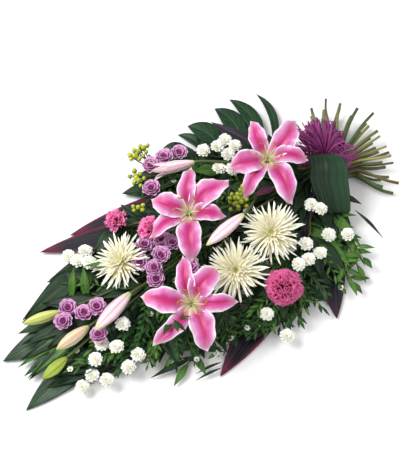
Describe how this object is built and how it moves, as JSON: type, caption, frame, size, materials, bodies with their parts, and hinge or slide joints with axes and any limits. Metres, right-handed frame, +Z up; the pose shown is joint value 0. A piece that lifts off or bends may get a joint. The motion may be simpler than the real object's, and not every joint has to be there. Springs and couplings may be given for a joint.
{
  "type": "flower sheaf",
  "caption": "Tied sheaf of cut flowers lying flat: open lilies, buds, chrysanthemums, carnations, small sprays and dark leaves, with a raffia bow and a fan of cut stems.",
  "frame": {"origin": "on the ground under the tie, at the middle of the flat underside of the raffia wrap", "axes": "+X along the bundle to the cut ends, -X to the flowers, +Y to the side of the deeply cut leaf, +Z up"},
  "size_m": [0.8918, 0.5106, 0.1687],
  "materials": {
    "lily_petal": "soft satin petal, pink with pale edges",
    "lily_stamen": "matte, pale green filament and brown anther",
    "bud_pink": "soft satin, pale pink bud",
    "bud_green": "soft satin, yellow-green bud",
    "carnation": "matte ruffled petal",
    "chrysanthemum": "matte cream-white petal",
    "mauve_bloom": "matte mauve petal with a dark centre",
    "white_bloom": "matte white petal with a cream centre",
    "berry": "smooth, slightly glossy berry",
    "cordyline": "satin dark leaf with a burgundy edge",
    "leaf": "satin dark green leaf",
    "leaflet": "satin green leaflet",
    "stem": "satin green stem",
    "raffia": "shiny dyed raffia strand",
    "string": "matte twine"
  },
  "bodies": {
    "root": {"berry_spray_far": "berry", "berry_spray_near": "berry", "binding_tie": "string", "bud_blush": "bud_pink", "bud_cream": "bud_green", "bud_green": "bud_green", "bud_lime": "bud_green", "bud_open": "bud_pink", "bud_pink": "bud_pink", "carnation_1": "carnation", "carnation_1_stem": "stem", "carnation_2": "carnation", "carnation_2_stem": "stem", "carnation_3": "carnation", "carnation_3_stem": "stem", "chrysanthemum_1": "chrysanthemum", "chrysanthemum_1_stem": "stem", "chrysanthemum_2": "chrysanthemum", "chrysanthemum_2_stem": "stem", "chrysanthemum_3": "chrysanthemum", "chrysanthemum_3_stem": "stem", "cordyline_bottom": "cordyline", "cordyline_left_lower": "cordyline", "cordyline_left_upper": "cordyline", "cordyline_right": "cordyline", "cordyline_side": "cordyline", "cordyline_top": "cordyline", "cut_leaf": "leaf", "foliage_bottom": "leaflet", "foliage_right": "leaflet", "foliage_side": "leaflet", "lily_1_petals": "lily_petal", "lily_1_stamens": "lily_stamen", "lily_2_petals": "lily_petal", "lily_2_stamens": "lily_stamen", "lily_3_petals": "lily_petal", "lily_3_stamens": "lily_stamen", "lily_stem_1": "stem", "lily_stem_2": "stem", "lily_stem_3": "stem", "lily_stem_tip": "stem", "loop_leaf": "leaf", "mauve_spray_middle": "mauve_bloom", "mauve_spray_tip": "mauve_bloom", "mauve_spray_upper": "mauve_bloom", "raffia_bow": "raffia", "tip_leaves_left": "leaf", "tip_leaves_middle": "leaf", "tip_leaves_right": "leaf", "upper_leaves": "leaf", "white_spray_left": "white_bloom", "white_spray_low": "white_bloom", "white_spray_right": "white_bloom", "white_spray_side": "white_bloom", "white_spray_tie": "white_bloom", "white_spray_tip": "white_bloom", "white_spray_upper": "white_bloom"}
  },
  "joints": []
}
